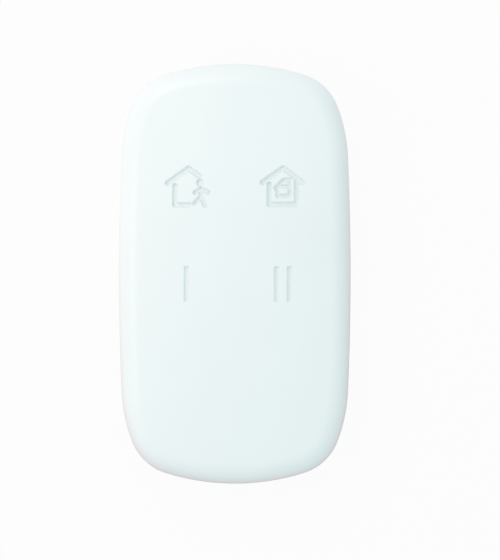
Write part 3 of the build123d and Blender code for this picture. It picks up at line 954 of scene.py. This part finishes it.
def turned_screw(tree, given):
    """Screw turned from its half section, with its thread cut."""
    size = add_node(tree, "GeometryNodeAttributeDomainSize", {0: given["Geometry"]})
    rows = size.outputs["Point Count"]
    grid = result(tree, "GeometryNodeMeshGrid", {
        "Vertices X": calculate(tree, "ADD", given["Steps"], 1.0), "Vertices Y": rows})
    index = result(tree, "GeometryNodeInputIndex")
    column = calculate(tree, "FLOOR", calculate(tree, "DIVIDE", index, rows))
    share = calculate(tree, "DIVIDE", column, given["Steps"])
    point = result(tree, "GeometryNodeSampleIndex", {
        "Geometry": given["Geometry"], "Value": result(tree, "GeometryNodeInputPosition"),
        "Index": calculate(tree, "MODULO", index, rows)}, data_type="FLOAT_VECTOR")
    parts = add_node(tree, "ShaderNodeSeparateXYZ", {0: point}).outputs

    # The groove is deepest between two crests and fades out at both ends of the thread
    wave = calculate(tree, "FRACT", calculate(
        tree, "SUBTRACT", calculate(tree, "DIVIDE", parts["Z"], given["Thread Pitch"]), share))
    groove = calculate(tree, "ABSOLUTE", calculate(tree, "MULTIPLY_ADD", wave, 2.0, -1.0))
    ends = [spread(tree, parts["Z"], 0, 1, given[end],
                   calculate(tree, "ADD", given[end], fade))
            for end, fade in (("Thread Low", THREAD_FADE), ("Thread High", -THREAD_FADE))]
    cut = calculate(tree, "MULTIPLY", calculate(tree, "MULTIPLY", *ends),
                    calculate(tree, "MULTIPLY", groove, given["Thread Depth"]))
    reach = calculate(tree, "SUBTRACT", parts["X"], cut)
    angle = calculate(tree, "MULTIPLY", share, 2 * pi)
    wound = vector(tree, Z=parts["Z"], **around(tree, angle, reach))
    turned = result(tree, "GeometryNodeSetPosition", {"Geometry": grid, "Position": wound})
    return result(tree, "GeometryNodeMergeByDistance", {"Geometry": turned, "Distance": 1e-6})


def recess_arms(tree, given):
    """The two crossed wedges that cut a screw's recess, narrower at its bottom."""
    corner = calculate(tree, "MULTIPLY", given["Recess Length"], sqrt(0.5))
    pyramid = result(tree, "GeometryNodeMeshCone", {
        "Vertices": 4, "Radius Top": calculate(tree, "MULTIPLY", corner, ARM_BOTTOM),
        "Radius Bottom": corner, "Depth": given["Recess Depth"]})
    squared = result(tree, "GeometryNodeTransform",
                     {"Geometry": pyramid, "Rotation": (0, 0, pi / 4)})
    # They start a little outside the head, so that the cut is clean
    low = vector(tree, Z=calculate(tree, "SUBTRACT", given["Head Low"], 1e-5))
    return [result(tree, "GeometryNodeTransform",
                   {"Geometry": squared, "Scale": scale, "Translation": low})
            for scale in ((1, ARM_WIDTH, 1), (ARM_WIDTH, 1, 1))]


def screw_tree():
    """Tree that turns a profile, cuts its thread and cross recess and sets four screws."""
    tree, given = shape_tree(
        "Cross Head Screws", Int=["Steps"],
        Float=["Thread Low", "Thread High", "Thread Pitch", "Thread Depth", "Head Low",
               "Recess Length", "Recess Depth"],
        Vector=["Upper Screw", "Lower Screw"])
    screw = carve(tree, turned_screw(tree, given), *recess_arms(tree, given))

    # Screws 0 and 1 are the left and right upper ones, and 2 and 3 the lower ones
    number = result(tree, "GeometryNodeInputIndex")
    second = calculate(tree, "GREATER_THAN", number, 1.5)
    side = calculate(tree, "MULTIPLY_ADD", calculate(tree, "MODULO", number, 2.0), 2.0, -1.0)
    upper, lower = (add_node(tree, "ShaderNodeSeparateXYZ", {0: given[place]}).outputs
                    for place in ("Upper Screw", "Lower Screw"))

    def chosen(axis):
        gap = calculate(tree, "SUBTRACT", lower[axis], upper[axis])
        return calculate(tree, "MULTIPLY_ADD", gap, second, upper[axis])

    spot = vector(tree, X=calculate(tree, "MULTIPLY", chosen("X"), side), Y=chosen("Y"))
    twist = calculate(tree, "MULTIPLY_ADD", number, TWIST, FIRST_TWIST)
    close_tree(tree, copies(tree, screw, 4, spot, twist), given["Material"])
    return tree


def named_values(settings):
    """Settings of a group by the names that a tree's inputs have."""
    shown = settings.bl_rna.properties
    return {shown[key].name: getattr(settings, key) for key in settings.__annotations__}


def sink_marks(piece, cover, values):
    """Sinks marks into a piece, on an arc about the cover's axis."""
    grow(piece, marks_tree(), {
        **named_values(cover), "First Angle": pi / 2,
        "Material": material_of("Satin Plastic"), **values})
    even_shading(piece)


# Operators


class FOB_OT_finishes(bpy.types.Operator):
    """Make the finishes and give them to the CAD parts that show their own mesh"""

    bl_idname = "keyfob.finishes"
    bl_label = "Finishes"

    def execute(self, context):
        make_materials(context)
        worn = {
            "front_shell": "Satin Plastic", "cover_seal": "Seal Rubber",
            "circuit_board": "Board Resist", "radio_chip": "Chip Moulding",
            "crystal": "Stamped Steel", "chip_capacitors": "Capacitor Ceramic",
            "antenna_loop": "Antenna Copper", "battery_can": "Cell Nickel",
            "battery_cap": "Cell Nickel", "battery_gasket": "Gasket Polymer",
            "positive_contact": "Contact Spring", "negative_contact": "Contact Spring",
        }
        for key in KEYS:
            worn.update({
                f"key_{key}": "Key Plastic", f"switch_base_{key}": "Switch Moulding",
                f"switch_frame_{key}": "Stamped Steel", f"switch_stem_{key}": "Stem Moulding"})
        for node, finish in worn.items():
            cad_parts[node].material_slots[0].material = material_of(finish)
        return {"FINISHED"}


class FOB_OT_soft_face(bpy.types.Operator):
    """Build the seamless soft skin round the pads"""

    bl_idname = "keyfob.soft_face"
    bl_label = "Soft Face"

    def execute(self, context):
        mesh = soft_face_mesh(context.scene.fob_face, context.scene.fob_keys)
        skin = add_piece("soft_face", mesh, material_of("Soft Skin"))
        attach(skin, CASING)
        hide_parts("face_skin")
        return {"FINISHED"}


class FOB_OT_key_pads(bpy.types.Operator):
    """Build the pads with their sunk signs"""

    bl_idname = "keyfob.key_pads"
    bl_label = "Key Pads"

    def execute(self, context):
        face, keys = context.scene.fob_face, context.scene.fob_keys
        for key, middle in key_middles(keys).items():
            name = f"pad_{key}"
            mesh, follow = pad_mesh(name, face, keys, middle, key)
            pad = add_piece(name, mesh, material_of("Soft Skin"))
            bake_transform(pad)
            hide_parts("face_skin")
        return {"FINISHED"}


class FOB_OT_back_case(bpy.types.Operator):
    """Sink the open and closed dots into the back shell"""

    bl_idname = "keyfob.back_case"
    bl_label = "Back Case"

    def execute(self, context):
        cover = context.scene.fob_cover
        case = add_piece(
            "back_case", merged_copy("back_shell"), material_of("Satin Plastic"))
        sink_marks(case, cover, {
            "Count": 2, "Sides": 32, "Angle Step": -cover.turn, "Ring": cover.dot_ring,
            "Size": cover.dot_radius, "Low": 0.0})
        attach(case, CASING)
        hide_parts("back_shell")
        return {"FINISHED"}


class FOB_OT_coin_cover(bpy.types.Operator):
    """Sink the arrow into the battery cover"""

    bl_idname = "keyfob.coin_cover"
    bl_label = "Coin Cover"

    def execute(self, context):
        cover = context.scene.fob_cover
        lid = add_piece(
            "coin_cover", merged_copy("battery_cover"), material_of("Satin Plastic"))
        sink_marks(lid, cover, {
            "Count": 1, "Sides": 3, "Angle Step": 0.0, "Ring": cover.arrow_ring,
            "Size": cover.arrow_radius, "Low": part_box("battery_cover")[0].z})
        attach(lid, COVER)
        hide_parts("battery_cover")
        return {"FINISHED"}


class FOB_OT_case_screws(bpy.types.Operator):
    """Turn the four screws with their threads and cross recesses"""

    bl_idname = "keyfob.case_screws"
    bl_label = "Case Screws"

    def execute(self, context):
        screw = context.scene.fob_screws
        screws = add_piece("cross_head_screws", screw_profile(screw))
        grow(screws, screw_tree(), {
            **named_values(screw), "Steps": SCREW_STEPS,
            "Thread Low": screw.head_high + THREAD_FADE,
            "Thread High": screw.tip - POINT_LENGTH, "Material": material_of("Screw Zinc")})
        even_shading(screws)
        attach(screws, CASING)
        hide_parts("case_screws")
        return {"FINISHED"}


# Studio


def clear_tree(owner):
    """Empty node tree of a material or world."""
    owner.use_nodes = True
    owner.node_tree.nodes.clear()
    return owner.node_tree


def show_backdrop(tree, kinds, real, level, share=1.0):
    """Ends a tree in its real shader, and in the backdrop's own brightness for a share of
    what the camera's rays see. Kinds are those of the backdrop's node and the last node."""
    own = result(tree, kinds[0], {"Color": (level, level, level, 1)})
    seen = add_node(tree, "ShaderNodeLightPath").outputs["Is Camera Ray"]
    mixed = result(tree, "ShaderNodeMixShader",
                   {0: calculate(tree, "MULTIPLY", seen, share), 1: real, 2: own})
    add_node(tree, kinds[1], {0: mixed})


def floor_material(studio):
    """Pale floor that shows its own brightness and a share of its light and shade. The fob's
    reflections and part of its bounce light see a dark warm painted shade grow in it towards
    the lower right, which darkens the fob's lower right edge."""
    material = bpy.data.materials.new("Studio Floor")
    tree = clear_tree(material)
    tone, reach = studio.floor_tone, studio.painted_shade_reach
    place = add_node(tree, "ShaderNodeTexCoord").outputs["Object"]
    across = add_node(tree, "ShaderNodeVectorMath", {0: place, 1: PAINTED_SHADE_HEADING},
                      operation="DOT_PRODUCT").outputs["Value"]
    # Painted shade: grows from none to full across the reach towards the lower right
    floor_shade = spread(tree, across, 0, 1, -reach, reach)
    rays = add_node(tree, "ShaderNodeLightPath").outputs
    seen = calculate(tree, "MULTIPLY_ADD", rays["Is Diffuse Ray"], studio.painted_shade_bounce,
                     rays["Is Glossy Ray"])
    colour = two_tone(tree, calculate(tree, "MULTIPLY", floor_shade, seen), (tone, tone, tone),
                      studio.painted_shade_colour)
    plain = result(tree, "ShaderNodeBsdfDiffuse", {"Color": colour})
    show_backdrop(tree, ("ShaderNodeEmission", "ShaderNodeOutputMaterial"), plain,
                  studio.backdrop, 1 - studio.shadow_share)
    return material


def world_light(studio):
    """Even light from all round, behind the backdrop's own brightness."""
    world = bpy.data.worlds.new("Studio Light")
    tree = clear_tree(world)
    even = result(tree, "ShaderNodeBackground", {
        "Color": (*studio.fill_colour, 1), "Strength": studio.fill_strength})
    show_backdrop(tree, ("ShaderNodeBackground", "ShaderNodeOutputWorld"), even,
                  studio.backdrop)
    return world


class FOB_OT_studio(bpy.types.Operator):
    """Set the floor, the light and the camera that looks straight down"""

    bl_idname = "keyfob.studio"
    bl_label = "Studio"

    def execute(self, context):
        studio = context.scene.fob_studio
        scene = context.scene
        scene.view_settings.view_transform = "Standard"

        half = studio.floor_size / 2
        corners = [(x * half, y * half, FLOOR_Z)
                   for x, y in ((-1, -1), (1, -1), (1, 1), (-1, 1))]
        mesh = bpy.data.meshes.new("floor")
        mesh.from_pydata(corners, [], [(0, 1, 2, 3)])
        floor = add_piece("floor", mesh, floor_material(studio))
        scene.world = world_light(studio)

        for name, place, size, power in (
                ("key_lamp", studio.key_place, studio.key_size, studio.key_power),
                ("side_lamp", studio.side_place, studio.side_size, studio.side_power)):
            lamp = bpy.data.lights.new(name, "AREA")
            lamp.shape = "DISK"
            lamp.size = size
            lamp.energy = power
            lamp.color = studio.lamp_colour
            aim = (-Vector(place)).to_track_quat("-Z", "Y")
            add_object(name, lamp, place).rotation_euler = aim.to_euler()

        camera = bpy.data.cameras.new("camera")
        camera.lens = studio.lens
        camera.clip_start = 0.01
        scene.camera = add_object("camera", camera, studio.camera_place)
        return {"FINISHED"}


class FOB_PT_panel(bpy.types.Panel):
    """Sizes, colours and steps of the key fob"""

    bl_idname = "FOB_PT_panel"
    bl_label = "Alarm Key Fob"
    bl_space_type = "VIEW_3D"
    bl_region_type = "UI"
    bl_category = "Key Fob"

    def draw(self, context):
        for group, (_, *steps) in PARTS.items():
            box = self.layout.box()
            settings = getattr(context.scene, group)
            for name in settings.__annotations__:
                box.prop(settings, name)
            for step in steps:
                box.operator(step.bl_idname)


# Settings of each part and the steps that use them
PARTS = {
    "fob_finish": (FinishSettings, FOB_OT_finishes),
    "fob_face": (FaceSettings, FOB_OT_soft_face),
    "fob_keys": (KeySettings, FOB_OT_key_pads),
    "fob_cover": (CoverSettings, FOB_OT_back_case, FOB_OT_coin_cover),
    "fob_screws": (ScrewSettings, FOB_OT_case_screws),
    "fob_studio": (StudioSettings, FOB_OT_studio),
}
CLASSES = (*(made for row in PARTS.values() for made in row), FOB_PT_panel)


def register():
    """Adds the add-on's classes and settings."""
    for made in CLASSES:
        bpy.utils.register_class(made)
    for name, (group, *_) in PARTS.items():
        setattr(bpy.types.Scene, name, PointerProperty(type=group))


def unregister():
    """Takes the add-on's classes and settings away."""
    for name in PARTS:
        delattr(bpy.types.Scene, name)
    for made in reversed(CLASSES):
        bpy.utils.unregister_class(made)


def main():
    """Builds every piece in order."""
    register()
    bpy.ops.keyfob.finishes()
    bpy.ops.keyfob.soft_face()
    bpy.ops.keyfob.key_pads()
    bpy.ops.keyfob.back_case()
    bpy.ops.keyfob.coin_cover()
    bpy.ops.keyfob.case_screws()
    bpy.ops.keyfob.studio()


if __name__ == "__main__":
    main()
